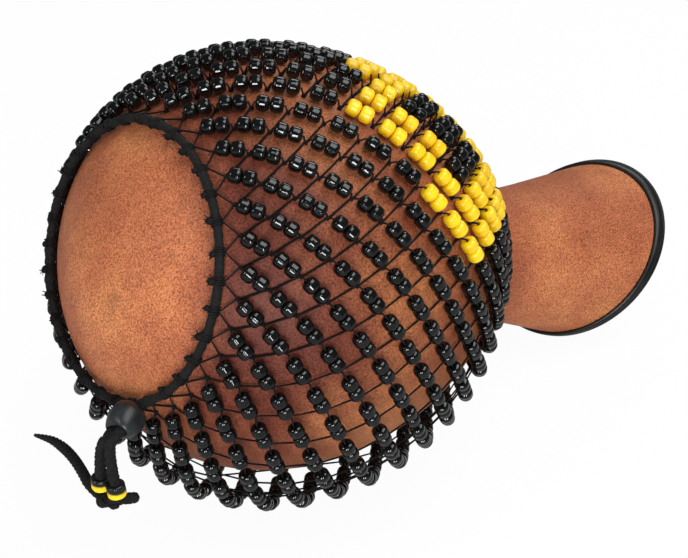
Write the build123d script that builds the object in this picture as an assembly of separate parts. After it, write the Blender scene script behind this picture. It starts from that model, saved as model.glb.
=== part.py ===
"""Shekere: a hollow gourd-shaped shell with a flared neck, wrapped in a knotted net of beads.

The shell is a body of revolution about its own axis, cut by a slanted plane at the mouth, where a
rubber edging covers the cut. The net is 16 rows of zigzag thread, each tied to the next, with two
beads on every second leg. A drawcord runs round the base of the net, leaves through a bell-shaped
stop and ends in two beads, a knot and a tail. The shekere lies on its side, +X towards the mouth,
+Z up, resting on the net and on the lowest point of the mouth edging, at Z = 0.
"""
import math
import os

from build123d import *

# Shell
ball_radius = 115.0        # outer radius at the widest circle
base_depth = 112.0         # widest circle to the bottom pole
shoulder_height = 146.0    # semi-axis of the half ellipse on the neck side
shoulder_end = 64.0        # degrees past the widest circle where the neck's curve begins
shoulder_pull = 20.0       # length of the neck curve's handle at the shoulder
throat_pull = 45.0         # length of its handle at the flare
throat_height = 228.0      # start of the straight flare
mouth_height = 259.0       # where the slanted cut crosses the axis
mouth_radius = 55.5        # outer radius of the flare at that height
flare = 0.2                # growth of the radius per unit of height
mouth_slant = 24.2         # degrees between the cut and a square one
mouth_slant_turn = 14.0    # degrees from straight down to the way the cut faces
wall = 3.0

# Mouth edging
edging_thickness = 2.2
edging_cover = 7.5         # how far it reaches back over the wall
edging_lip = 2.5           # how far it stands past the cut
edging_round = 1.0

# Net
columns = 32
rows = 16
net_start = 43.2           # degrees from the bottom pole to the first knots
row_pitch = 14.9           # along the shell, from one ring of knots to the next
thread_diameter = 0.9
thread_lift = 0.7          # clearance of the knots over the shell
knot_spread = 1.0          # between the two threads that meet in a knot
net_sag = 16.0             # how far the loose net hangs off the underside
resting_slack = 4.0        # beads under the shell with less slack than this carry it
bead_lean = 0.58           # share of a column that a beaded leg crosses in a row
ring_tilt = 3.5            # degrees that the net's base lies off the axis
ring_tilt_turn = 28.0      # the way round that it lies off, from the top

# Beads
yellow_diameter = 9.0
yellow_length = 7.2
black_diameter = 8.4
black_length = 7.0
bead_bore = 2.8
bead_round = 2.3
bead_spacing = 0.3
bead_lift = 0.6            # clearance of the larger beads over the shell

# Lozenges of yellow beads
lozenge_columns = 8
lozenge_row = 9.6
lozenge_half_rows = 5.6
lozenge_centres = (26.0, -64.0)
lozenge_heart = 0.42

# Drawcord
cord_diameter = 6.2
ring_angle = 38.2          # degrees from the bottom pole to the cord round the base
ring_lift = 1.4
collar_diameter = 4.0
hitch_gap = 0.15
lacing_gap = 0.2
tuft_length = 4.5
tuft_diameter = 1.4
stop_angle = 147.0         # place of the stop round the axis, from the top
stop_lean = 3.0            # degrees that the stop leans down from the shell's normal
stop_diameter = 19.0
stop_length = 17.0
stop_round = 6.5
stop_wall = 1.8
stop_cup = 8.0
stop_seat = 3.9            # from the cord's corner to the stop
stop_travel = 6.0
leg_spacing = 6.8          # between the cord's two legs inside the stop
leg_clearance = 0.15
leg_bend = 12.0
ring_bend = 3.6
tail_spacing = 11.8        # between the two end beads
tail_bead_diameter = 10.0
tail_bead_length = 7.6
tail_bead_round = 1.1
tail_bead_gap = 2.2        # from the end beads to the end of the straight legs
leg_drop = 30.5            # from the bend of the legs to the end of the end beads
tail_knot_length = 15.0
tail_knot_diameter = 9.0
tail_tip_length = 16.0
tail_tip_diameter = 1.6


def meridian(t, lift=0.0):
    """Radius and height of the point at angle t from the bottom pole, lifted off the shell."""
    angle = math.radians(t)
    depth = base_depth if t <= 90 else shoulder_height
    r = ball_radius * math.sin(angle)
    z = -depth * math.cos(angle)
    nr = r / ball_radius**2
    nz = z / depth**2
    size = math.hypot(nr, nz)
    return r + lift * nr / size, z + lift * nz / size


def outward(t, phi):
    """Unit normal of the shell."""
    r0, z0 = meridian(t)
    r1, z1 = meridian(t, 1.0)
    angle = math.radians(phi)
    return Vector((r1 - r0) * math.cos(angle), (r1 - r0) * math.sin(angle), z1 - z0)


def over_shell(t, phi, lift):
    r, z = meridian(t, lift)
    angle = math.radians(phi)
    return Vector(r * math.cos(angle), r * math.sin(angle), z)


def further(t, length):
    """The angle that lies a given length further along the shell."""
    step = math.copysign(0.05, length)
    left = abs(length)
    while left > 0:
        r0, z0 = meridian(t)
        r1, z1 = meridian(t + step)
        run = math.hypot(r1 - r0, z1 - z0)
        t += step * min(1.0, left / run)
        left -= run
    return t


# Heights of the thread over the shell, at the knots and in the bores
thread_radius = thread_diameter / 2
knot_lift = thread_radius + thread_lift
bore_lift = yellow_diameter / 2 + bead_lift
bead_radius = yellow_diameter / 2

# Lying pose: the net's underside and the edging's lowest point touch the same level
mouth_turn = math.radians(180 + mouth_slant_turn)
mouth_tilt = math.radians(mouth_slant)
mouth_normal = Vector(
    math.sin(mouth_tilt) * math.cos(mouth_turn),
    math.sin(mouth_tilt) * math.sin(mouth_turn),
    math.cos(mouth_tilt),
)
mouth_centre = Vector(0, 0, mouth_height)


def drop_of_ball(dip):
    shell = math.hypot(ball_radius * math.cos(dip), shoulder_height * math.sin(dip))
    return shell + bore_lift + bead_radius


def drop_of_edging(dip):
    lowest = 0.0
    radius = mouth_radius + edging_thickness * math.sqrt(1 + flare**2)
    for degree in range(360):
        turn = math.radians(degree)
        slope = math.cos(turn - mouth_turn) * math.tan(mouth_tilt)
        middle = edging_lip / math.cos(mouth_tilt)
        rise = (middle - radius * slope) / (1 + flare * slope)
        r = radius + flare * rise
        lowest = min(lowest, r * math.cos(turn) * math.cos(dip) - (mouth_height + rise) * math.sin(dip))
    return -lowest


dip_low = 0.0
dip_high = math.radians(45)
for _ in range(50):
    dip = (dip_low + dip_high) / 2
    if drop_of_edging(dip) < drop_of_ball(dip):
        dip_low = dip
    else:
        dip_high = dip
centre_height = drop_of_ball(dip)
lying = Plane(
    origin=(0, 0, centre_height),
    x_dir=(math.sin(dip), 0, math.cos(dip)),
    z_dir=(math.cos(dip), 0, -math.sin(dip)),
)


def height(point):
    return centre_height + point.X * math.cos(dip) - point.Z * math.sin(dip)


# Rings of knots, evenly spaced along the shell
levels = [net_start]
for _ in range(rows):
    levels.append(further(levels[-1], row_pitch))
column_pitch = 360 / columns


tilt_turn = math.radians(ring_tilt_turn)
tilt_axis = Axis((0, 0, 0), (math.sin(tilt_turn), -math.cos(tilt_turn), 0))


def along_net(t):
    """Share of the way from the net's first knots to its last ones."""
    return min(1.0, max(0.0, (t - levels[0]) / (levels[-1] - levels[0])))


def over_net(t, phi, lift):
    """A point of the net, whose base lies off the shell's axis and whose top lies true to it."""
    spot = over_shell(t, phi, 0.0).rotate(tilt_axis, ring_tilt * (1 - along_net(t)))
    depth = base_depth if spot.Z < 0 else shoulder_height
    new_t = math.atan2(math.hypot(spot.X, spot.Y) / ball_radius, -spot.Z / depth)
    new_phi = math.atan2(spot.Y, spot.X)
    return over_shell(math.degrees(new_t), math.degrees(new_phi), lift)


def slack(t, phi):
    """How far the net hangs off the shell: it sags on the underside and lies on the ground there."""
    below = max(0.0, -math.cos(math.radians(phi))) ** 0.7
    hang = net_sag * math.sin(math.pi * along_net(t)) * below
    spot = over_net(t, phi, bore_lift)
    fall = height(spot) - height(over_net(t, phi, bore_lift + 1))
    if fall > 0.1:
        room = (height(spot) - bead_radius) / fall
        hang = min(hang, max(0.0, room))
    return hang


def column_angle(level, column):
    return (column + level * bead_lean) * column_pitch


def knot(level, column, shift):
    phi = column_angle(level, column)
    t = further(levels[level], shift) if shift else levels[level]
    return over_net(t, phi, knot_lift + slack(levels[level], phi))


def bore_end(level, column):
    phi = column_angle(level, column)
    return over_net(levels[level], phi, bore_lift + slack(levels[level], phi))


def mitred_thread(points, radius, sides=3):
    """A thread along straight runs, with flat sides that meet in mitres."""
    first = Plane(origin=points[0], z_dir=points[1] - points[0])
    ring = []
    for k in range(sides):
        angle = 2 * math.pi * k / sides
        across = first.x_dir * math.cos(angle) + first.y_dir * math.sin(angle)
        ring.append(first.origin + across * radius)
    rings = [ring]
    for k in range(1, len(points)):
        run = (points[k] - points[k - 1]).normalized()
        mitre = run
        if k < len(points) - 1:
            mitre = (run + (points[k + 1] - points[k]).normalized()).normalized()
        ring = [q + run * ((points[k] - q).dot(mitre) / run.dot(mitre)) for q in ring]
        rings.append(ring)
    faces = [Face(Wire.make_polygon(rings[0], close=True)), Face(Wire.make_polygon(rings[-1], close=True))]
    for low, high in zip(rings, rings[1:]):
        for k in range(sides):
            n = (k + 1) % sides
            faces.append(Face(Wire.make_polygon([low[k], low[n], high[n], high[k]], close=True)))
    return Solid(Shell(faces))


def bead(diameter, length, bore, rounding):
    section = Rectangle(diameter / 2 - bore / 2, length, align=(Align.MIN, Align.CENTER))
    section = Pos(bore / 2, 0) * section
    section = fillet(section.vertices().sort_by(Axis.X)[2:], rounding)
    return revolve(Plane.XZ * section, Axis.Z)


def is_yellow(row, column):
    """Lozenges with a dark heart, side by side round the upper half of the net."""
    phi = column_angle(row + 0.5, column)
    for centre in lozenge_centres:
        across = abs((phi - centre + 180) % 360 - 180) / (lozenge_columns / 2 * column_pitch)
        up = abs(row - lozenge_row) / lozenge_half_rows
        if lozenge_heart <= across + up <= 1.0:
            return True
    return False


parts = {}


# Shell
def shell_profile(inset):
    """Half section of the shell's outside, or of its inside when inset by the wall."""
    radius = ball_radius - inset
    shoulder = shoulder_height - inset
    end = math.radians(shoulder_end)
    start = Vector(radius * math.cos(end), shoulder * math.sin(end))
    leave = Vector(-radius * math.sin(end), shoulder * math.cos(end)).normalized()
    square = math.sqrt(1 + flare**2)
    arrive = Vector(flare, 1) / square
    foot = Vector(mouth_radius + flare * (throat_height - mouth_height), throat_height)
    foot = foot + Vector(-1, flare) * (inset / square)
    top = mouth_height + 2 * mouth_radius * math.tan(mouth_tilt)
    rim = foot + arrive * ((top - foot.Y) * square)
    bottom = inset - base_depth
    lower = Bezier((0, bottom), (radius, bottom), (radius, 0), weights=[1, math.sqrt(0.5), 1])
    bulge = (radius, shoulder * math.tan(end / 2))
    upper = Bezier((radius, 0), bulge, start, weights=[1, math.cos(end / 2), 1])
    neck = Bezier(start, start + leave * shoulder_pull, foot - arrive * throat_pull, foot)
    cone = Line(foot, rim)
    lid = Line(rim, (0, rim.Y))
    middle = Line((0, rim.Y), (0, bottom))
    return make_face([lower, upper, neck, cone, lid, middle])


mouth_plane = Plane(origin=mouth_centre, z_dir=mouth_normal)
outside = revolve(Plane.XZ * shell_profile(0.0), Axis.Z)
inside = revolve(Plane.XZ * shell_profile(wall), Axis.Z)
gourd = split(outside - inside, bisect_by=mouth_plane, keep=Keep.BOTTOM)
parts["gourd_shell"] = gourd

# Mouth edging: a channel that the cut edge of the wall sits in
square = math.sqrt(1 + flare**2)
edging_low = mouth_height - 2 * mouth_radius * math.tan(mouth_tilt)
edging_high = mouth_height + 2 * mouth_radius * math.tan(mouth_tilt)


def flare_radius(z, offset):
    return mouth_radius + flare * (z - mouth_height) + offset * square


edging_section = make_face(
    Polyline(
        (flare_radius(edging_low, -wall - edging_thickness), edging_low),
        (flare_radius(edging_low, edging_thickness), edging_low),
        (flare_radius(edging_high, edging_thickness), edging_high),
        (flare_radius(edging_high, -wall - edging_thickness), edging_high),
        close=True,
    )
)
edging = revolve(Plane.XZ * edging_section, Axis.Z)
edging_top = Plane(origin=mouth_centre + mouth_normal * edging_lip, z_dir=mouth_normal)
edging_back = Plane(origin=mouth_centre - mouth_normal * edging_cover, z_dir=mouth_normal)
edging = split(edging, bisect_by=edging_top, keep=Keep.BOTTOM)
edging = split(edging, bisect_by=edging_back, keep=Keep.TOP)
edging = edging - gourd


def on_top(edge):
    spots = (edge.center(), edge @ 0.3)
    return all(abs((spot - edging_top.origin).dot(mouth_normal)) < 0.01 for spot in spots)


edging = fillet(edging.edges().filter_by(on_top), edging_round)
parts["mouth_edging"] = edging

# Net threads and beads
beads = {
    True: bead(yellow_diameter, yellow_length, bead_bore, bead_round),
    False: bead(black_diameter, black_length, bead_bore, bead_round),
}
lengths = {True: yellow_length, False: black_length}
resting = []
smallest_room = 1e9
for row in range(rows):
    path = []
    strung = {True: [], False: []}
    for column in range(columns):
        low = bore_end(row, column)
        high = bore_end(row + 1, column)
        run = (high - low).normalized()
        middle = (low + high) / 2
        colour = is_yellow(row, column)
        reach = lengths[colour] + bead_spacing / 2 + thread_radius + 0.1
        smallest_room = min(smallest_room, (high - low).length / 2 - reach)
        path += [knot(row, column, knot_spread / 2), middle - run * reach, middle + run * reach]
        path.append(knot(row + 1, column, -knot_spread / 2))
        for side in (-1, 1):
            place = middle + run * (side * (lengths[colour] + bead_spacing) / 2)
            one = beads[colour].moved(Plane(origin=place, z_dir=run).location)
            carries = slack(levels[row], column_angle(row, column)) < resting_slack
            if carries and height(place) < bead_radius + 0.7:
                resting.append(one)
            else:
                strung[colour].append(one)
    parts["net_thread_row_%02d" % (row + 1)] = mitred_thread(path, thread_radius)
    for colour, name in ((False, "black"), (True, "yellow")):
        if strung[colour]:
            parts["beads_row_%02d_%s" % (row + 1, name)] = Compound(strung[colour])
parts["beads_resting"] = Compound(resting)

# Cord round the base, open where its two ends leave through the stop
cord_radius = cord_diameter / 2
ring_radius, ring_height = meridian(ring_angle, cord_radius + ring_lift)
ring_gap = math.degrees((leg_spacing / 2 + ring_bend + 0.4) / ring_radius)
ring_plane = Plane(
    origin=over_shell(ring_angle, stop_angle + ring_gap, cord_radius + ring_lift),
    x_dir=(0, 0, 1),
    z_dir=(-math.sin(math.radians(stop_angle + ring_gap)), math.cos(math.radians(stop_angle + ring_gap)), 0),
)
ring_cord = revolve(ring_plane * Circle(cord_radius), Axis.Z, 360 - 2 * ring_gap)
parts["base_ring_cord"] = ring_cord.rotate(tilt_axis, ring_tilt)


def at_ring(phi):
    """Middle of the base cord."""
    return over_shell(ring_angle, phi, cord_radius + ring_lift).rotate(tilt_axis, ring_tilt)


def along_cord(phi):
    angle = math.radians(phi)
    return Vector(-math.sin(angle), math.cos(angle), 0).rotate(tilt_axis, ring_tilt)



# Lacing from that cord to the first knots, with a hitch on the cord at each turn
lacing_angle = further(ring_angle, cord_radius + hitch_gap + 2 * thread_diameter + lacing_gap)
path = []
for column in range(columns):
    turn = column_angle(0, column - 0.5)
    path.append(over_net(lacing_angle, turn, knot_lift))
    path.append(knot(0, column, -knot_spread / 2))
parts["base_lacing"] = mitred_thread(path, thread_radius)
hitches = []
tufts = []
hitch = Torus(cord_radius + hitch_gap + thread_radius, thread_radius)
tuft = Cone(tuft_diameter / 2, tuft_diameter / 5, tuft_length, align=(Align.CENTER, Align.CENTER, Align.MIN))
for column in range(columns):
    turn = column_angle(0, column - 0.5)
    if abs(turn - stop_angle) < ring_gap + 3.0:
        continue
    seat = at_ring(turn)
    hitches.append(hitch.moved(Plane(origin=seat, z_dir=along_cord(turn)).location))
    normal = outward(ring_angle, turn).rotate(tilt_axis, ring_tilt)
    inward = normal.cross(along_cord(turn))
    if inward.Z > 0:
        inward = -inward
    way = (inward + normal * 0.6).normalized()
    root = seat + way * (cord_radius + hitch_gap + thread_diameter + 0.25)
    tufts.append(tuft.moved(Plane(origin=root, z_dir=way).location))
parts["base_hitches"] = Compound(hitches)
parts["base_tufts"] = Compound(tufts)

# Collar cord that the last row hangs on, round the root of the neck
collar_angle = further(levels[-1], collar_diameter / 2 + thread_radius + lacing_gap - knot_spread / 2)
collar_radius, collar_height = meridian(collar_angle, collar_diameter / 2 + thread_lift)
parts["neck_collar_cord"] = Pos(0, 0, collar_height) * Torus(collar_radius, collar_diameter / 2)

# Everything so far moves into the lying pose
for name in parts:
    parts[name] = lying.location * parts[name]


def lie(vector):
    """Turn a direction into the lying pose."""
    return lying.x_dir * vector.X + lying.y_dir * vector.Y + lying.z_dir * vector.Z


def lie_at(point):
    return lying.origin + lie(point)


# Legs of the drawcord: from the ring's ends, out through the stop, then down
along_ring = lie(along_cord(stop_angle))
stop_normal = lie(outward(ring_angle, stop_angle).rotate(tilt_axis, ring_tilt))
downhill = (Vector(0, 0, -1) + stop_normal * stop_normal.Z)
downhill = (downhill - along_ring * downhill.dot(along_ring)).normalized()
lean = math.radians(stop_lean)
stop_axis = stop_normal * math.cos(lean) + downhill * math.sin(lean)
ring_seat = lie_at(at_ring(stop_angle))
leg_reach = stop_seat + stop_length + stop_travel + leg_bend * 0.55
bend = ring_seat + stop_axis * leg_reach
hang_way = Vector(0.06, 0.0, -1.0).normalized()
leg_end = bend + hang_way * leg_drop
beside = (along_ring - hang_way * along_ring.dot(hang_way)).normalized()
legs = {}
leg_radii = []
for name, side in (("a", 1), ("b", -1)):
    start = lie_at(at_ring(stop_angle + side * ring_gap))
    tangent = lie(along_cord(stop_angle + side * ring_gap)) * -side
    corner = start + tangent * (ring_bend + 0.4)
    elbow = bend + along_ring * (side * leg_spacing / 2)
    elbow = elbow + (corner - (ring_seat + along_ring * (side * leg_spacing / 2)))
    finish = leg_end + beside * (side * tail_spacing / 2)
    path = FilletPolyline(start, corner, elbow, finish, radius=[ring_bend, leg_bend])
    legs[name] = sweep(Plane(origin=start, z_dir=tangent) * Circle(cord_radius), path=path)
    down = (finish - elbow).normalized()
    leg_radii.append((round(ring_bend, 1), round(leg_bend, 1)))
    end_bead = bead(tail_bead_diameter, tail_bead_length, cord_diameter + 2 * leg_clearance, tail_bead_round)
    seat = finish - down * (tail_bead_length / 2 + tail_bead_gap)
    parts["tail_bead_" + name] = end_bead.moved(Plane(origin=seat, z_dir=down).location)

# Knot under the end beads
knot_axis = Vector(0.80, -0.60, 0.05).normalized()
knot_place = leg_end + Vector(0, 0, -1) * (tail_knot_diameter / 2 - 0.6)
knot_x = tail_knot_length / 2
knot_y = tail_knot_diameter / 2
half = make_face([
    Bezier((-knot_x, 0), (-knot_x, knot_y), (0, knot_y), weights=[1, math.sqrt(0.5), 1]),
    Bezier((0, knot_y), (knot_x, knot_y), (knot_x, 0), weights=[1, math.sqrt(0.5), 1]),
    Line((-knot_x, 0), (knot_x, 0)),
])
lump = revolve(half, Axis.X).moved(Plane(origin=knot_place, x_dir=knot_axis, z_dir=(0, 0, 1)).location)
for name in legs:
    parts["drawcord_leg_" + name] = legs[name] - lump
parts["tail_knot"] = lump

# Tail of the stiff cord, standing out behind the knot, and its short end; offsets from the knot
tail_points = [
    knot_place - knot_axis * 2.0,
    knot_place + Vector(-1.9, 18.0, -2.4),
    knot_place + Vector(2.6, 33.7, -5.9),
    knot_place + Vector(6.9, 50.9, -10.0),
    knot_place + Vector(9.8, 67.5, -14.5),
    knot_place + Vector(11.2, 83.1, -19.4),
    knot_place + Vector(11.3, 93.0, -23.2),
]


def wide_bends(points):
    """The largest radius that each corner's two runs leave room for."""
    radii = []
    for before, point, after in zip(points, points[1:], points[2:]):
        shorter = min((point - before).length, (after - point).length)
        turn = math.radians((point - before).get_angle(after - point))
        radii.append(0.45 * shorter / math.tan(turn / 2))
    return radii


tail_radii = wide_bends(tail_points)
tail_path = FilletPolyline(*tail_points, radius=tail_radii)
tail_start = Plane(origin=tail_points[0], z_dir=tail_points[1] - tail_points[0])
tail = sweep(tail_start * Circle(cord_radius), path=tail_path)
parts["drawcord_tail"] = tail - lump - legs["a"] - legs["b"]
tip_way = (tail_points[-1] - tail_points[-2]).normalized()
tip_plane = Plane(origin=tail_points[-1], z_dir=tip_way)
tip_end = tail_points[-1] + (tip_way + Vector(-0.06, 0, -0.06)) * tail_tip_length
parts["drawcord_tip"] = loft([
    tip_plane * Circle(cord_radius),
    Plane(origin=tip_end, x_dir=tip_plane.x_dir, z_dir=tip_way) * Circle(tail_tip_diameter / 2),
])
stub_points = [
    knot_place + knot_axis * 2.0,
    knot_place + knot_axis * 15.0 + Vector(0, 0, 1.2),
]
stub = Plane(origin=stub_points[0], z_dir=stub_points[1] - stub_points[0]) * Circle(cord_radius)
stub = extrude(stub, (stub_points[1] - stub_points[0]).length)
parts["drawcord_short_end"] = stub - lump - parts["drawcord_tail"]

# Bell-shaped stop on the two legs
stop_section = Rectangle(stop_diameter / 2, stop_length, align=(Align.MIN, Align.MIN))
stop_section = fillet(stop_section.vertices().group_by(Axis.Y)[0].sort_by(Axis.X)[-1:], stop_round)
stop_section = fillet(stop_section.vertices().group_by(Axis.Y)[-1].sort_by(Axis.X)[-1:], stop_wall * 0.45)
bell = revolve(Plane.XZ * stop_section, Axis.Z)
cup = Pos(0, 0, stop_length - stop_cup) * Cylinder(
    stop_diameter / 2 - stop_wall, stop_cup, align=(Align.CENTER, Align.CENTER, Align.MIN))
slot = extrude(SlotCenterToCenter(leg_spacing, cord_diameter + 2 * leg_clearance), stop_length)
bell = bell - cup - slot
stop_place = Plane(origin=ring_seat + stop_axis * stop_seat, x_dir=along_ring, z_dir=stop_axis)
parts["cord_stop"] = stop_place.location * bell

# The origin goes to the middle of the shekere's footprint, at the level it rests on
loose = {name for name in parts if name.startswith(("drawcord", "tail")) or name == "cord_stop"}
low = Vector(1e9, 1e9, 1e9)
high = Vector(-1e9, -1e9, -1e9)
for name in parts:
    if name in loose or name.startswith("net_thread"):
        continue
    box = parts[name].bounding_box()
    low = Vector(min(low.X, box.min.X), min(low.Y, box.min.Y), min(low.Z, box.min.Z))
    high = Vector(max(high.X, box.max.X), max(high.Y, box.max.Y), max(high.Z, box.max.Z))
shift = Vector(-(low.X + high.X) / 2, -(low.Y + high.Y) / 2, -low.Z)

os.makedirs("parts", exist_ok=True)
for name in parts:
    export_step(Pos(shift) * parts[name], "parts/%s.step" % name)

centre = lying.origin + shift
rest_spot = lie_at(mouth_centre + mouth_normal * edging_lip) + shift
print("nodes", len(parts), "beads", 2 * rows * columns, "resting", len(resting))
print("dip %.3f" % math.degrees(dip), "ball centre", centre, "axis", lying.z_dir)
print("size", high - low, "shift", shift)
print("mouth face centre", rest_spot, "normal", lie(mouth_normal))
print("stop axis", stop_axis, "stop seat", ring_seat + shift)
print("levels", [round(t, 1) for t in levels], "collar", round(collar_angle, 1))
print("least room at a knot", round(smallest_room, 2))
print("tail radii", [round(r, 1) for r in tail_radii], "leg radii", leg_radii)
print("tail length %.1f" % tail_path.length, "tail end", tip_end + shift)
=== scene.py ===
"""Looks of the shekere: materials, the knotted net's threads, the braided drawcord, light and camera."""
import math
import random

import bpy
import numpy as np
from mathutils import Matrix, Vector


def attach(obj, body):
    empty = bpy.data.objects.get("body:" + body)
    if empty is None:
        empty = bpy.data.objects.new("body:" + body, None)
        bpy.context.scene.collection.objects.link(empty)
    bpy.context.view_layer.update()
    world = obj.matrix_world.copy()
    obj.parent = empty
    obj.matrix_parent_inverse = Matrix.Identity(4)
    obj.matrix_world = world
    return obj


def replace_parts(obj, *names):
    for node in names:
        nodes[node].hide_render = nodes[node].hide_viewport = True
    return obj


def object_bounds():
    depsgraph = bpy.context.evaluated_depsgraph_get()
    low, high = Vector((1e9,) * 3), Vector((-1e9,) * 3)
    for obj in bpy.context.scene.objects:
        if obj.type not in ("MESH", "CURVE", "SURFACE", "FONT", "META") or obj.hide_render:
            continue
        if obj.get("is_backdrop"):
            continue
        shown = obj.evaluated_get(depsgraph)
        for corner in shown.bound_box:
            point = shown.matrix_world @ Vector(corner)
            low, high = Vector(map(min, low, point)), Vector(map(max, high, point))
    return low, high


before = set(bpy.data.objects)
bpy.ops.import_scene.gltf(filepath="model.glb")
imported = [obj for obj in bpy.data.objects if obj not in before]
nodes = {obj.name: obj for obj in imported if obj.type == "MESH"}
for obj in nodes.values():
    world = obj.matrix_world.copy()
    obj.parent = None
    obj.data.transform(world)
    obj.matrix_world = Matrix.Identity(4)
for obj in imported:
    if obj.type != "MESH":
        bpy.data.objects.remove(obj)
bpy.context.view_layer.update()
rng = random.Random(7)
scene = bpy.context.scene
scene.view_settings.view_transform = "Standard"

# Sizes of the part, in millimetres and degrees, as in its source
ball_radius = 115.0
base_depth = 112.0
shoulder_height = 146.0
columns = 32
rows = 16
net_start = 43.2
row_pitch = 14.9
thread_radius = 0.45
knot_lift = 1.15
knot_spread = 1.0
bore_lift = 5.1
bead_radius = 4.5
bead_reach = 7.9
net_sag = 16.0
bead_lean = 0.58
ring_tilt = 3.5
ring_tilt_turn = 28.0
cord_radius = 3.1
ring_angle = 38.2
ring_lift = 1.4
stop_angle = 147.0
ring_gap = 5.741
mouth_height = 259.0
mouth_radius = 55.5
flare = 0.2
mouth_tilt = math.radians(24.2)
mouth_turn = math.radians(194.0)
collar_radius = 55.2
collar_height = 131.35
stop_radius = 9.5
stop_length = 17.0
stop_round = 6.5
stop_seat = 3.9
slot_half = 3.4
centre_height = 128.256
dip = math.radians(18.962)
centre = Vector((-87.4374, 0.163, 127.982))
axis_up = Vector((math.sin(dip), 0, math.cos(dip)))
axis_side = Vector((0, -1, 0))
axis_mouth = Vector((math.cos(dip), 0, -math.sin(dip)))

# Sizes of the scene's own, in millimetres
ring_braid_radius = 2.5
collar_braid_radius = 2.0
stop_waist = 7.5
slot_radius = 3.4
knot_wrap_radius = 0.85
knot_thread_radius = 0.42
hitch_thread_radius = 0.55
tuft_thread_radius = 0.7
tuft_strands = 8


# The net's form, as in the part's source
def meridian(t, lift=0.0):
    angle = math.radians(t)
    depth = base_depth if t <= 90 else shoulder_height
    r = ball_radius * math.sin(angle)
    z = -depth * math.cos(angle)
    nr = r / ball_radius**2
    nz = z / depth**2
    size = math.hypot(nr, nz)
    return r + lift * nr / size, z + lift * nz / size


def over_shell(t, phi, lift):
    r, z = meridian(t, lift)
    angle = math.radians(phi)
    return Vector((r * math.cos(angle), r * math.sin(angle), z))


def outward(t, phi):
    return over_shell(t, phi, 1.0) - over_shell(t, phi, 0.0)


def further(t, length):
    step = math.copysign(0.05, length)
    left = abs(length)
    while left > 0:
        r0, z0 = meridian(t)
        r1, z1 = meridian(t + step)
        run = math.hypot(r1 - r0, z1 - z0)
        t += step * min(1.0, left / run)
        left -= run
    return t


levels = [net_start]
for _ in range(rows):
    levels.append(further(levels[-1], row_pitch))
pitch = 360 / columns


tilt_turn = math.radians(ring_tilt_turn)
tilt_axis = Vector((math.sin(tilt_turn), -math.cos(tilt_turn), 0))


def along_net(t):
    return min(1.0, max(0.0, (t - levels[0]) / (levels[-1] - levels[0])))


def tilted(v, share=1.0):
    return Matrix.Rotation(math.radians(ring_tilt * share), 3, tilt_axis) @ v


def over_net(t, phi, lift):
    """A point of the net, whose base lies off the shell's axis."""
    spot = tilted(over_shell(t, phi, 0.0), 1 - along_net(t))
    depth = base_depth if spot.z < 0 else shoulder_height
    new_t = math.atan2(math.hypot(spot.x, spot.y) / ball_radius, -spot.z / depth)
    return over_shell(math.degrees(new_t), math.degrees(math.atan2(spot.y, spot.x)), lift)


def level_of(v):
    return centre_height + v.x * math.cos(dip) - v.z * math.sin(dip)


def slack(t, phi):
    below = max(0.0, -math.cos(math.radians(phi))) ** 0.7
    hang = net_sag * math.sin(math.pi * along_net(t)) * below
    place = over_net(t, phi, bore_lift)
    fall = level_of(place) - level_of(over_net(t, phi, bore_lift + 1))
    if fall > 0.1:
        hang = min(hang, max(0.0, (level_of(place) - bead_radius) / fall))
    return hang


def turn_of(level, column):
    return (column + level * bead_lean) * pitch


def knot_at(level, column, shift=0.0):
    phi = turn_of(level, column)
    t = further(levels[level], shift) if shift else levels[level]
    return over_net(t, phi, knot_lift + slack(levels[level], phi))


def bore_at(level, column):
    phi = turn_of(level, column)
    return over_net(levels[level], phi, bore_lift + slack(levels[level], phi))


def ring_at(phi):
    return tilted(over_shell(ring_angle, phi, cord_radius + ring_lift))


def lie(v):
    return axis_up * v.x + axis_side * v.y + axis_mouth * v.z


def lie_at(v):
    return (centre + lie(v)) / 1000


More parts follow.
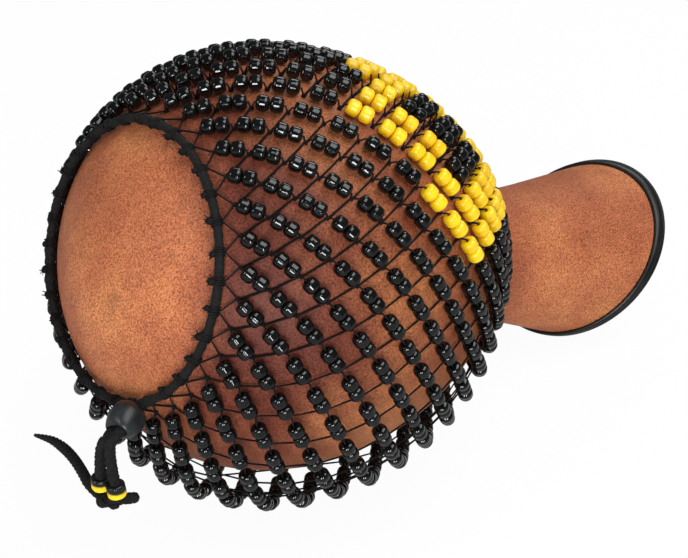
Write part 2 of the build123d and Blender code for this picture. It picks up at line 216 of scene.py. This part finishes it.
# Mesh helpers
class Pile:
    """Collects tubes into one mesh with a UV map: round the tube, and along it in metres."""

    def __init__(self):
        self.points = []
        self.faces = []
        self.uvs = []

    def tube(self, path, radius, sides=8, weave=None, taper=None, start_cap=True, end_cap=True):
        path = [Vector(p) for p in path]
        count = len(path)
        runs = [(b - a).normalized() for a, b in zip(path, path[1:])]
        first = len(self.points)
        ref = Vector((0.31, 0.77, 0.55)).cross(runs[0]).normalized()
        length = 0.0
        lengths = []
        for k in range(count):
            if k:
                length += (path[k] - path[k - 1]).length
            lengths.append(length)
            before = runs[max(0, k - 1)]
            after = runs[min(count - 2, k)]
            tangent = (before + after).normalized()
            ref = (ref - tangent * ref.dot(tangent)).normalized()
            side = tangent.cross(ref)
            stretch = 1.0
            if 0 < k < count - 1:
                stretch = min(1.5, 1 / max(0.5, tangent.dot(after)))
            share = 1.0 if taper is None else taper(k / (count - 1))
            for s in range(sides):
                u = s / sides
                lift = 1.0 if weave is None else weave(u, length)
                r = radius * share * lift * stretch
                angle = 2 * math.pi * u
                self.points.append(path[k] + ref * (r * math.cos(angle)) + side * (r * math.sin(angle)))
        for k in range(count - 1):
            for s in range(sides):
                n = (s + 1) % sides
                a = first + k * sides
                self.faces.append((a + s, a + n, a + sides + n, a + sides + s))
                u0 = s / sides
                u1 = (s + 1) / sides
                v0 = lengths[k]
                v1 = lengths[k + 1]
                self.uvs.append(((u0, v0), (u1, v0), (u1, v1), (u0, v1)))
        for cap, at, flip in ((start_cap, 0, True), (end_cap, count - 1, False)):
            if cap:
                edge = first + at * sides
                middle = len(self.points)
                self.points.append(path[at])
                for s in range(sides):
                    n = (s + 1) % sides
                    one = (edge + s, edge + n, middle)
                    self.faces.append(one[::-1] if flip else one)
                    self.uvs.append(((0, lengths[at]),) * 3)

    def band(self, loops):
        """Closed loops of equal counts, joined round into a closed ring."""
        first = len(self.points)
        turns = len(loops)
        count = len(loops[0])
        for loop in loops:
            self.points += loop
        for k in range(turns):
            here = first + k * count
            there = first + (k + 1) % turns * count
            for j in range(count):
                n = (j + 1) % count
                self.faces.append((here + j, there + j, there + n, here + n))
                u = (k / turns, (k + 1) / turns)
                v = (j / count, (j + 1) / count)
                self.uvs.append(((u[0], v[0]), (u[1], v[0]), (u[1], v[1]), (u[0], v[1])))

    def piece(self, name, material, body, slot_name):
        mesh = bpy.data.meshes.new(name)
        mesh.from_pydata([tuple(p) for p in self.points], [], self.faces)
        layer = mesh.uv_layers.new(name="UVMap")
        flat = np.array([c for face in self.uvs for uv in face for c in uv], np.float32)
        layer.data.foreach_set("uv", flat)
        mesh.polygons.foreach_set("use_smooth", [True] * len(mesh.polygons))
        mesh.materials.append(material)
        mesh.update()
        ob = bpy.data.objects.new(name, mesh)
        scene.collection.objects.link(ob)
        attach(ob, body)
        return ob


def braid(strands, lay, depth):
    """Height of a braid of crossing strands over a tube, by the turn round it and the length along it."""

    def lift(u, v):
        a = strands * u + v / lay
        b = strands * u - v / lay
        over = (math.floor(a) + math.floor(b)) % 2 == 0
        ridge = math.sin(math.pi * (a % 1.0)) if over else math.sin(math.pi * (b % 1.0))
        return 1.0 - depth + depth * ridge

    return lift


def smooth_route(route, steps):
    """Points read from the route's own smooth spline."""
    curve = bpy.data.curves.new("route", "CURVE")
    curve.dimensions = "3D"
    curve.resolution_u = steps
    spline = curve.splines.new("NURBS")
    spline.points.add(len(route) - 1)
    for point, place in zip(spline.points, route):
        point.co = (*place, 1)
    spline.order_u = 3
    spline.use_endpoint_u = True
    ob = bpy.data.objects.new("route", curve)
    mesh = bpy.data.meshes.new_from_object(ob)
    points = [v.co.copy() for v in mesh.vertices]
    bpy.data.objects.remove(ob)
    bpy.data.meshes.remove(mesh)
    bpy.data.curves.remove(curve)
    return points


def evenly(points, step):
    """The same line with its points a step apart."""
    runs = [0.0]
    for a, b in zip(points, points[1:]):
        runs.append(runs[-1] + (b - a).length)
    count = max(2, int(runs[-1] / step) + 1)
    out = []
    k = 0
    for i in range(count):
        s = runs[-1] * i / (count - 1)
        while k < len(runs) - 2 and runs[k + 1] < s:
            k += 1
        share = (s - runs[k]) / max(1e-12, runs[k + 1] - runs[k])
        out.append(points[k].lerp(points[k + 1], min(1.0, share)))
    return out


# Materials
def new_material(name, color, roughness, **more):
    mat = bpy.data.materials.new(name)
    mat.use_nodes = True
    tree = mat.node_tree
    shader = tree.nodes["Principled BSDF"]
    shader.inputs["Base Color"].default_value = (*color, 1)
    shader.inputs["Roughness"].default_value = roughness
    for key, value in more.items():
        shader.inputs[key.replace("_", " ")].default_value = value
    return mat, tree, shader


def node(tree, kind, inputs=None, **settings):
    made = tree.nodes.new(kind)
    for key, value in settings.items():
        setattr(made, key, value)
    for key, value in (inputs or {}).items():
        if hasattr(value, "is_output"):
            tree.links.new(value, made.inputs[key])
        else:
            made.inputs[key].default_value = value
    return made


def object_coords(tree):
    return node(tree, "ShaderNodeTexCoord").outputs["Object"]


def math_node(tree, operation, a, b=0.5, clamp=False):
    return node(tree, "ShaderNodeMath", {0: a, 1: b}, operation=operation, use_clamp=clamp).outputs[0]


def vector_node(tree, operation, inputs):
    return node(tree, "ShaderNodeVectorMath", inputs, operation=operation)


def mix_color(tree, factor, a, b, blend="MIX"):
    return node(tree, "ShaderNodeMix", {0: factor, 6: a, 7: b}, data_type="RGBA", blend_type=blend).outputs[2]


def map_range(tree, value, from_min, from_max, to_min=0.0, to_max=1.0):
    ends = {"From Min": from_min, "From Max": from_max, "To Min": to_min, "To Max": to_max}
    return node(tree, "ShaderNodeMapRange", {"Value": value, **ends}).outputs[0]


def ramp(tree, factor, stops):
    made = node(tree, "ShaderNodeValToRGB", {"Fac": factor})
    while len(made.color_ramp.elements) < len(stops):
        made.color_ramp.elements.new(0.5)
    for element, (place, color) in zip(made.color_ramp.elements, stops):
        element.position = place
        element.color = (*color, 1)
    return made.outputs["Color"]


def noise_at(tree, coords, scale, detail=2.0, rough=0.5):
    inputs = {"Vector": coords, "Scale": scale, "Detail": detail, "Roughness": rough}
    return node(tree, "ShaderNodeTexNoise", inputs).outputs["Fac"]


def bump(tree, shader, height, strength, distance):
    made = node(tree, "ShaderNodeBump", {"Height": height, "Strength": strength, "Distance": distance})
    tree.links.new(made.outputs["Normal"], shader.inputs["Normal"])


# Shell: stippled copper-brown lacquer outside, darker round the base, partly as painted shade there, and raw
# laminate inside
shell_mat, tree, shader = new_material("copper_lacquer", (0.42, 0.13, 0.05), 0.5)
shader.inputs["Specular IOR Level"].default_value = 0.2
coords = object_coords(tree)
clouds = noise_at(tree, coords, 17.0, 4.0, 0.55)
base = ramp(tree, clouds, [
    (0.3, (0.29, 0.080, 0.036)),
    (0.5, (0.43, 0.140, 0.058)),
    (0.72, (0.62, 0.240, 0.085)),
])
patches = noise_at(tree, coords, 90.0, 3.0, 0.6)
base = mix_color(tree, math_node(tree, "MULTIPLY", patches, 0.45), base, (0.33, 0.085, 0.036, 1))
stipple = noise_at(tree, coords, 1050.0, 2.0, 0.75)
stipple_color = ramp(tree, stipple, [
    (0.37, (0.42, 0.36, 0.33)),
    (0.5, (1, 1, 1)),
    (0.64, (1.5, 1.58, 1.62)),
])
base = mix_color(tree, 0.85, base, stipple_color, "MULTIPLY")
smudge = noise_at(tree, coords, 34.0, 2.0, 0.5)
smudge = ramp(tree, smudge, [(0.66, (0, 0, 0)), (0.8, (0.5, 0.5, 0.5))])
base = mix_color(tree, smudge, base, (0.12, 0.042, 0.024, 1))
specks = node(tree, "ShaderNodeTexVoronoi", {"Vector": coords, "Scale": 62.0})
fleck = math_node(tree, "LESS_THAN", specks.outputs["Distance"], 0.055)
chance = math_node(tree, "GREATER_THAN", noise_at(tree, coords, 41.0), 0.56)
fleck = math_node(tree, "MULTIPLY", math_node(tree, "MULTIPLY", fleck, chance), 0.7)
base = mix_color(tree, fleck, base, (0.05, 0.022, 0.014, 1))

# Place on the shell: along its axis, out from it, and round it
away = vector_node(tree, "SUBTRACT", {0: coords, 1: tuple(centre / 1000)}).outputs[0]
along = vector_node(tree, "PROJECT", {0: away, 1: tuple(axis_mouth)}).outputs[0]
spoke = vector_node(tree, "SUBTRACT", {0: away, 1: along}).outputs[0]
pole = vector_node(tree, "DOT_PRODUCT", {0: away, 1: tuple(axis_mouth)}).outputs["Value"]
# Painted shade: the side of the ball where the band is darkest, upward and towards the camera
painted_shade_way = axis_up * 0.55 + axis_side * 0.83
height = vector_node(tree, "DOT_PRODUCT", {0: spoke, 1: tuple(painted_shade_way)}).outputs["Value"]

# Darker band outside the base ring: partly a darker tone of the lacquer and partly painted shade from the
# packed beads, made heavier on the upper side towards the camera
band_and_painted_shade = ramp(tree, map_range(tree, pole, -0.115, 0.045), [
    (0.13, (0, 0, 0)),
    (0.22, (1, 1, 1)),
    (0.48, (0.8, 0.8, 0.8)),
    (0.72, (0.3, 0.3, 0.3)),
    (0.92, (0, 0, 0)),
])
band_and_painted_shade = math_node(tree, "MULTIPLY", band_and_painted_shade, map_range(tree, height, -0.1, 0.1, 0.5, 1.1))
band_and_painted_shade = math_node(tree, "MULTIPLY", band_and_painted_shade, map_range(tree, clouds, 0.35, 0.65, 1.15, 0.7), clamp=True)
base = mix_color(tree, band_and_painted_shade, base, (0.42, 0.34, 0.46, 1), "MULTIPLY")

# Inside, where the surface faces the axis
normal = node(tree, "ShaderNodeTexCoord").outputs["Normal"]
facing = vector_node(tree, "DOT_PRODUCT", {0: spoke, 1: normal}).outputs["Value"]
hollow = math_node(tree, "LESS_THAN", facing, 0.0)
from_axis = vector_node(tree, "LENGTH", {0: spoke}).outputs["Value"]
hollow = math_node(tree, "SUBTRACT", hollow, math_node(tree, "LESS_THAN", from_axis, 0.004), clamp=True)
fibres = noise_at(tree, coords, 260.0, 6.0, 0.7)
raw = ramp(tree, fibres, [(0.3, (0.17, 0.10, 0.055)), (0.7, (0.33, 0.21, 0.12))])
base = mix_color(tree, hollow, base, raw)
tree.links.new(base, shader.inputs["Base Color"])
tree.links.new(map_range(tree, stipple, 0.3, 0.7, 0.44, 0.6), shader.inputs["Roughness"])
bump(tree, shader, stipple, 0.35, 0.0004)


# Beads: moulded gloss plastic
def bead_material(name, dark, light, roughness):
    mat, tree, shader = new_material(name, dark, roughness, IOR=1.55)
    each = node(tree, "ShaderNodeNewGeometry").outputs["Random Per Island"]
    color = mix_color(tree, each, (*dark, 1), (*light, 1))
    tree.links.new(color, shader.inputs["Base Color"])
    bump(tree, shader, noise_at(tree, object_coords(tree), 190.0, 1.0), 0.12, 0.0012)
    return mat


black_mat = bead_material("gloss_black", (0.0018, 0.0022, 0.0023), (0.0040, 0.0046, 0.0050), 0.1)
yellow_mat = bead_material("gloss_yellow", (0.86, 0.52, 0.006), (0.95, 0.64, 0.012), 0.24)

# End beads: black above, yellow below
end_mat, tree, shader = new_material("two_tone_bead", (0.9, 0.6, 0.01), 0.2, IOR=1.5)
level = node(tree, "ShaderNodeSeparateXYZ", {0: object_coords(tree)}).outputs[2]
above = map_range(tree, level, 0.0718, 0.0732)
tint = mix_color(tree, above, (0.93, 0.62, 0.01, 1), (0.008, 0.009, 0.009, 1))
tree.links.new(tint, shader.inputs["Base Color"])

# Rubber edging
edging_mat, tree, shader = new_material("black_rubber", (0.012, 0.012, 0.013), 0.38)
coords = object_coords(tree)
dust = noise_at(tree, coords, 60.0, 5.0, 0.65)
dust = ramp(tree, dust, [(0.4, (0.004, 0.004, 0.0045)), (0.75, (0.014, 0.014, 0.015))])
tree.links.new(dust, shader.inputs["Base Color"])
bump(tree, shader, noise_at(tree, coords, 900.0), 0.12, 0.0002)

# Stop: satin black plastic with a slight moulding texture
stop_mat, tree, shader = new_material("satin_black", (0.022, 0.024, 0.027), 0.36)
coords = object_coords(tree)
haze = noise_at(tree, coords, 120.0, 4.0, 0.6)
haze = ramp(tree, haze, [(0.35, (0.008, 0.010, 0.011)), (0.7, (0.024, 0.028, 0.030))])
tree.links.new(haze, shader.inputs["Base Color"])
bump(tree, shader, noise_at(tree, coords, 1100.0), 0.1, 0.0002)


# Threads and cords: twisted or braided fibre
def fibre_material(name, light, turns, lay, strength, distance, gloss):
    dark = (0.0015, 0.0015, 0.0015)
    mat, tree, shader = new_material(name, dark, 0.62, Sheen_Weight=0.02, Sheen_Roughness=0.5)
    shader.inputs["Specular IOR Level"].default_value = gloss
    coords = node(tree, "ShaderNodeTexCoord")
    split = node(tree, "ShaderNodeSeparateXYZ", {0: coords.outputs["UV"]})
    phase = math_node(tree, "ADD", math_node(tree, "MULTIPLY", split.outputs[0], turns),
                      math_node(tree, "DIVIDE", split.outputs[1], lay))
    wave = math_node(tree, "SINE", math_node(tree, "MULTIPLY", phase, 2 * math.pi))
    fuzz = noise_at(tree, coords.outputs["Object"], 2400.0, 2.0, 0.7)
    mixed = math_node(tree, "ADD", math_node(tree, "MULTIPLY", wave, 0.25), fuzz)
    color = ramp(tree, mixed, [(0.2, dark), (0.85, light)])
    tree.links.new(color, shader.inputs["Base Color"])
    bump(tree, shader, mixed, strength, distance)
    return mat


thread_mat = fibre_material("waxed_thread", (0.006, 0.006, 0.006), 2.0, 0.0014, 0.4, 0.0003, 0.2)
cord_mat = fibre_material("braided_cord", (0.010, 0.010, 0.0095), 8.0, 0.0011, 0.8, 0.0005, 0.25)

for name, ob in nodes.items():
    if name == "gourd_shell":
        look = shell_mat
    elif name == "mouth_edging":
        look = edging_mat
    elif name == "cord_stop":
        look = stop_mat
    elif name.startswith("tail_bead"):
        look = end_mat
    elif name.endswith("yellow"):
        look = yellow_mat
    elif name.startswith("beads"):
        look = black_mat
    elif name.startswith(("net_thread", "base_lacing", "base_hitches", "base_tufts")):
        look = thread_mat
    else:
        look = cord_mat
    ob.data.materials.clear()
    ob.data.materials.append(look)
    ob.data.polygons.foreach_set("use_smooth", [True] * len(ob.data.polygons))

# Edging of the mouth: a rounded channel with a groove round it
edging_loop = [
    (0.0, -3.8), (0.9, -3.9), (1.7, -3.6), (2.1, -2.9), (2.2, -1.6), (2.2, -0.3), (1.7, 0.0), (2.2, 0.4),
    (2.15, 1.4), (1.7, 2.1), (0.8, 2.45), (-0.6, 2.5), (-2.4, 2.5), (-3.8, 2.45), (-4.7, 2.1), (-5.15, 1.4),
    (-5.2, -0.2), (-5.2, -2.6), (-4.9, -3.4), (-4.2, -3.8), (-3.0, -3.8), (-3.0, 0.0), (0.0, 0.0),
]


def rim_at(turn, offset, ahead):
    """A point off the flared wall, a way ahead of the mouth's slanted cut."""
    radius = mouth_radius + offset * math.sqrt(1 + flare**2)
    slope = math.tan(mouth_tilt) * math.cos(turn - mouth_turn)
    rise = (ahead / math.cos(mouth_tilt) - radius * slope) / (1 + flare * slope)
    radius += flare * rise
    return Vector((radius * math.cos(turn), radius * math.sin(turn), mouth_height + rise))


pile = Pile()
rim_turns = [math.radians(turn) for turn in range(0, 360, 2)]
pile.band([[lie_at(rim_at(turn, *spot)) for spot in edging_loop] for turn in rim_turns])
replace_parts(pile.piece("rubber_edging", edging_mat, "shell", "edging"), "mouth_edging")

# Drawcord: two legs from the ring through the stop to a knot, a tail and a short end
legs = {
    "a": [
        (-0.19603, -0.036325, 0.101167), (-0.195247, -0.039878, 0.102829), (-0.199296, -0.041568, 0.101828),
        (-0.216948, -0.048936, 0.097463), (-0.225387, -0.052459, 0.095376), (-0.2245, -0.049656, 0.066542),
    ],
    "b": [
        (-0.192676, -0.048705, 0.108501), (-0.193699, -0.045589, 0.106212), (-0.197748, -0.047279, 0.105211),
        (-0.2154, -0.054647, 0.100846), (-0.223839, -0.05817, 0.098759), (-0.221054, -0.06094, 0.066749),
    ],
}
tail = [(-0.224375, -0.0541, 0.062645), (-0.224677, -0.037298, 0.060345), (-0.220177, -0.021598, 0.056845),
        (-0.215877, -0.004398, 0.052745), (-0.212977, 0.012202, 0.048245), (-0.211577, 0.027802, 0.043345),
        (-0.211477, 0.037702, 0.039545), (-0.212286, 0.052639, 0.032852)]
stub = [(-0.221179, -0.056497, 0.062845), (-0.210792, -0.064287, 0.064694)]
knot_centre = Vector((-0.222777, -0.055298, 0.062745))
knot_axis = Vector((0.799002, -0.599251, 0.049938))
ring_seat = Vector((-0.194464, -0.042717, 0.104544))
round_braid = braid(4, 0.0048, 0.3)

# Stop: an egg-shaped slider with a slot for the two legs
stop_axis = (Vector(legs["a"][3]) - Vector(legs["a"][2])).normalized()
stop_along = (Vector(legs["a"][2]) - Vector(legs["b"][2])).normalized()
stop_across = stop_axis.cross(stop_along)
stop_foot = ring_seat + stop_axis * (stop_seat / 1000)
stop_sides = 64
foot_steps = 8
dome_steps = 14


def slot_at(turn):
    """Distance from the slot's middle to its edge."""
    rise = abs(math.sin(turn))
    if rise > 0 and slot_radius * abs(math.cos(turn)) / rise <= slot_half:
        return slot_radius / rise
    return slot_half * abs(math.cos(turn)) + math.sqrt(slot_radius**2 - (slot_half * rise) ** 2)


def stop_profile(edge):
    """Radius and height from the slot's edge at the foot, over the dome, and back into the slot."""
    flat = stop_radius - stop_round
    begin = math.asin(max(0.0, edge - flat) / stop_round)
    profile = []
    for j in range(foot_steps + 1):
        angle = begin + (math.pi / 2 - begin) * j / foot_steps
        profile.append((flat + stop_round * math.sin(angle), stop_round * (1 - math.cos(angle))))
    lip = edge + 0.4
    dome = stop_length - stop_waist
    for j in range(dome_steps + 1):
        angle = math.pi / 2 * j / dome_steps
        profile.append((lip + (stop_radius - lip) * math.cos(angle), stop_waist + dome * math.sin(angle)))
    return profile + [(edge, stop_length - 0.3), (edge, stop_waist)]


loops = []
for k in range(stop_sides):
    turn = 2 * math.pi * k / stop_sides
    spoke = stop_along * math.cos(turn) + stop_across * math.sin(turn)
    profile = stop_profile(slot_at(turn))
    loops.append([stop_foot + spoke * (r / 1000) + stop_axis * (z / 1000) for r, z in profile])
pile = Pile()
pile.band(loops)
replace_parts(pile.piece("stop_slider", stop_mat, "stop", "stop"), "cord_stop")


# Cords over their routes
def tail_taper(s):
    return 1.0 if s < 0.62 else max(0.34, 1 - ((s - 0.62) / 0.38) ** 1.6 * 0.66)


def stub_taper(s):
    return 1.0 if s < 0.8 else math.sqrt(max(0.05, 1 - ((s - 0.8) / 0.2) ** 2))


cord_step = 0.0006
cord_sides = 24
cords = {}
for name, route in legs.items():
    line = evenly(smooth_route(route, 40), cord_step)
    pile = Pile()
    pile.tube(line, cord_radius / 1000, cord_sides, round_braid)
    cords[name] = pile.piece("leg_" + name + "_braid", cord_mat, "net", "cord"), line
    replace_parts(cords[name][0], "drawcord_leg_" + name)
line = evenly(smooth_route(tail, 40), cord_step)
pile = Pile()
pile.tube(line, cord_radius / 1000, cord_sides, round_braid, tail_taper)
cords["tail"] = pile.piece("tail_braid", cord_mat, "net", "cord"), line
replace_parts(cords["tail"][0], "drawcord_tail", "drawcord_tip")
pile = Pile()
line = evenly([Vector(p) for p in stub], cord_step)
pile.tube(line, cord_radius / 1000, cord_sides, round_braid, stub_taper)
stub_piece = pile.piece("short_end_braid", cord_mat, "net", "cord")
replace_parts(stub_piece, "drawcord_short_end")

# Knot of the two legs under the end beads
across = knot_axis.cross(Vector((0, 0, 1))).normalized()
upright = across.cross(knot_axis).normalized()
knot_wide = 0.0056
knot_high = 0.0026
knot_deep = 0.0022
knot_cord_radius = 0.0024
knot_steps = 120
loop = []
for k in range(knot_steps + 1):
    t = 2 * math.pi * k / knot_steps
    x = knot_wide * (math.sin(t) + 2 * math.sin(2 * t)) / 3
    y = knot_high * (math.cos(t) - 2 * math.cos(2 * t)) / 3
    z = -knot_deep * math.sin(3 * t)
    loop.append(knot_centre + knot_axis * x + upright * y + across * z)
pile = Pile()
pile.tube(evenly(loop, cord_step), knot_cord_radius, 20, round_braid, None, False, False)
knot_piece = pile.piece("tail_knot_braid", cord_mat, "net", "cord")
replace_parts(knot_piece, "tail_knot")

for name in legs:
    piece, line = cords[name]
piece, line = cords["tail"]

# Cord round the base and the collar round the neck's root
ring_share = ring_braid_radius / cord_radius
ring_braid = braid(4, 0.0044, 0.24)


def uneven_braid(u, v):
    return ring_braid(u, v) * (1 + 0.06 * math.sin(310 * v) + 0.05 * math.sin(743 * v + 1.3))


def ring_taper(s):
    """Full at the two ends, where the legs go on, and stretched thin between."""
    return max(ring_share, 1 - min(s, 1 - s) * 12)


round_step = 0.0008
ring_steps = 720
ring = []
for k in range(ring_steps + 1):
    turn = stop_angle + ring_gap + (360 - 2 * ring_gap) * k / ring_steps
    ring.append(lie_at(ring_at(turn)))
pile = Pile()
pile.tube(evenly(ring, round_step), cord_radius / 1000, 20, uneven_braid, ring_taper)
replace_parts(pile.piece("base_ring_braid", cord_mat, "net", "cord"), "base_ring_cord")
collar = []
for k in range(361):
    angle = math.radians(k)
    spot = Vector((collar_radius * math.cos(angle), collar_radius * math.sin(angle), collar_height))
    collar.append(lie_at(spot))
pile = Pile()
collar_braid = braid(5, 0.0036, 0.1)
pile.tube(evenly(collar, round_step), collar_braid_radius / 1000, 16, collar_braid, None, False, False)
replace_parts(pile.piece("neck_collar_braid", cord_mat, "net", "cord"), "neck_collar_cord")


# Threads of the net, with a knot where two rows meet
def wraps(pile, place, along, radius, thread, turns, step):
    """A thread wound a few turns about a line; its sizes are in millimetres."""
    along = along.normalized()
    one = along.cross(Vector((0.2, 0.5, 0.84))).normalized()
    two = along.cross(one)
    points = []
    count = max(6, int(turns * 9))
    for k in range(count + 1):
        share = k / count
        angle = 2 * math.pi * turns * share
        round_it = one * math.cos(angle) + two * math.sin(angle)
        points.append(place + (along * (step * turns * (share - 0.5)) + round_it * radius) / 1000)
    pile.tube(points, thread / 1000, 5)


def net_knot(pile, level, column, run):
    place = lie_at(knot_at(level, column))
    wraps(pile, place, lie(run), knot_wrap_radius, knot_thread_radius, 2.6, 0.7)


for row in range(rows):
    path = []
    pile = Pile()
    for column in range(columns):
        low = bore_at(row, column)
        high = bore_at(row + 1, column)
        run = (high - low).normalized()
        middle = (low + high) / 2
        path += [knot_at(row, column, knot_spread / 2), middle - run * bead_reach, middle + run * bead_reach]
        path.append(knot_at(row + 1, column, -knot_spread / 2))
        net_knot(pile, row, column, run)
        if row == rows - 1:
            net_knot(pile, rows, column, run)
    pile.tube([lie_at(p) for p in path], thread_radius / 1000, 6)
    name = "net_thread_row_%02d" % (row + 1)
    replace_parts(pile.piece(name.replace("net_thread", "thread"), thread_mat, "net", "thread"), name)

# Lacing to the base cord, its hitches and their frayed ends
pile = Pile()
path = []
for column in range(columns):
    turn = turn_of(0, column - 0.5)
    seat = ring_at(turn)
    flank = over_net(further(ring_angle, 5.0), turn, cord_radius + ring_lift) - seat
    path.append(lie_at(seat + flank.normalized() * (ring_braid_radius + 0.25)))
    path.append(lie_at(knot_at(0, column, -knot_spread / 2)))
pile.tube(path, thread_radius / 1000, 6)
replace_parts(pile.piece("lacing", thread_mat, "net", "thread"), "base_lacing")
hitch_pile = Pile()
tuft_pile = Pile()
for column in range(columns):
    turn = turn_of(0, column - 0.5)
    if abs(turn - stop_angle) < ring_gap + 3.0:
        continue
    angle = math.radians(turn)
    seat = ring_at(turn)
    tangent = tilted(Vector((-math.sin(angle), math.cos(angle), 0)))
    wraps(hitch_pile, lie_at(seat), lie(tangent), ring_braid_radius + 0.3, hitch_thread_radius, 3.4, 1.2)
    normal_here = tilted(outward(ring_angle, turn))
    inward = normal_here.cross(tangent)
    if inward.z > 0:
        inward = -inward
    way = (inward + normal_here * rng.uniform(0.3, 0.9) + tangent * rng.uniform(-0.4, 0.4)).normalized()
    root = seat + way * (ring_braid_radius + 0.4)
    big = rng.uniform(0.6, 1.45)
    wraps(tuft_pile, lie_at(root + way * 0.5), lie(way), 1.1 * big, tuft_thread_radius, 2.4, 0.9)
    over = lie(tangent + inward * 0.5)
    wraps(tuft_pile, lie_at(root + way * 0.9), over, 1.0 * big, tuft_thread_radius, 1.8, 1.0)
    for _ in range(tuft_strands):
        lean = tangent * rng.uniform(-1.3, 1.3) + normal_here * rng.uniform(-0.2, 0.9)
        tip = root + (way + lean).normalized() * (rng.uniform(1.6, 4.2) * big)
        mid = root.lerp(tip, 0.5) + tangent * rng.uniform(-0.7, 0.7) + way * rng.uniform(-0.2, 0.5)
        line = [lie_at(root), lie_at(mid), lie_at(tip)]
        tuft_pile.tube(line, rng.uniform(0.0003, 0.00048), 5, None, lambda s: 1.0 - 0.45 * s)
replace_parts(hitch_pile.piece("hitches", thread_mat, "net", "thread"), "base_hitches")
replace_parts(tuft_pile.piece("frayed_ends", thread_mat, "net", "thread"), "base_tufts")

# Floor, light and camera
mesh = bpy.data.meshes.new("floor")
floor_half = 4
corners = [(-floor_half, -floor_half, 0), (floor_half, -floor_half, 0), (floor_half, floor_half, 0),
           (-floor_half, floor_half, 0)]
mesh.from_pydata(corners, [], [(0, 1, 2, 3)])
floor = bpy.data.objects.new("floor", mesh)
scene.collection.objects.link(floor)
floor.location.z = -0.0002
floor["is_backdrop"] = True
floor_mat, tree, shader = new_material("white_floor", (0.85, 0.85, 0.85), 0.9)
path = node(tree, "ShaderNodeLightPath")
bright = math_node(tree, "SUBTRACT", 1.0, math_node(tree, "MULTIPLY", path.outputs["Is Glossy Ray"], 0.65))
glow = node(tree, "ShaderNodeEmission", {"Color": (1, 1, 1, 1), "Strength": bright})
seen = math_node(tree, "MAXIMUM", path.outputs["Is Camera Ray"], path.outputs["Is Glossy Ray"])
seen = math_node(tree, "MAXIMUM", seen, path.outputs["Is Transmission Ray"])
share = math_node(tree, "MULTIPLY", seen, 0.96)
both = node(tree, "ShaderNodeMixShader", {0: share})
tree.links.new(shader.outputs[0], both.inputs[1])
tree.links.new(glow.outputs[0], both.inputs[2])
tree.links.new(both.outputs[0], tree.nodes["Material Output"].inputs["Surface"])
mesh.materials.append(floor_mat)

world = bpy.data.worlds.new("studio")
scene.world = world
world.use_nodes = True
tree = world.node_tree
background = tree.nodes["Background"]
background.inputs["Color"].default_value = (1, 1, 1, 1)
path = node(tree, "ShaderNodeLightPath")
seen = math_node(tree, "MAXIMUM", path.outputs["Is Camera Ray"], path.outputs["Is Transmission Ray"])
level = math_node(tree, "MULTIPLY", seen, 0.68)
level = math_node(tree, "ADD", level, 0.32)
level = math_node(tree, "SUBTRACT", level, math_node(tree, "MULTIPLY", path.outputs["Is Glossy Ray"], 0.24))
tree.links.new(level, background.inputs["Strength"])


def softbox(name, place, target, size, power):
    data = bpy.data.lights.new(name, "AREA")
    data.shape = "RECTANGLE"
    data.size, data.size_y = size
    data.energy = power
    ob = bpy.data.objects.new(name, data)
    scene.collection.objects.link(ob)
    ob.location = place
    ob.rotation_euler = (Vector(target) - Vector(place)).to_track_quat("-Z", "Y").to_euler()


aim = (-0.05, 0.0, 0.12)
softbox("key", (0.2, -0.5, 1.35), aim, (1.2, 1.0), 13.2)
softbox("front_left", (-1.03, -0.9, 0.36), aim, (0.13, 0.6), 5.8)
softbox("front_right", (-0.7, -1.15, 0.36), aim, (0.13, 0.6), 5.8)
softbox("left", (-1.3, 0.1, 0.9), aim, (0.3, 0.5), 4)
softbox("back_right", (0.75, 0.55, 1.0), (0.1, 0.0, 0.1), (0.8, 0.4), 4)

camera_data = bpy.data.cameras.new("camera")
image_width = 688
focal_pixels = 1600
sensor_width = 36.0
camera_data.sensor_width = sensor_width
camera_data.lens = focal_pixels / image_width * sensor_width
camera = bpy.data.objects.new("camera", camera_data)
scene.collection.objects.link(camera)
scene.camera = camera
pitch_down = math.radians(32.37)
heading = math.radians(52.81)
ahead = Vector((math.cos(heading), math.sin(heading), 0))
forward = ahead * math.cos(pitch_down) - Vector((0, 0, 1)) * math.sin(pitch_down)
right = Vector((math.sin(heading), -math.cos(heading), 0))
up = right.cross(forward)
spot = centre + right * 45.6 - up * 9.0 - forward * 893.25
turned = Matrix((right, up, -forward)).transposed().to_4x4()
turned.translation = spot / 1000
camera.matrix_world = turned
camera_data.clip_start = 0.01

low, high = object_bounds()
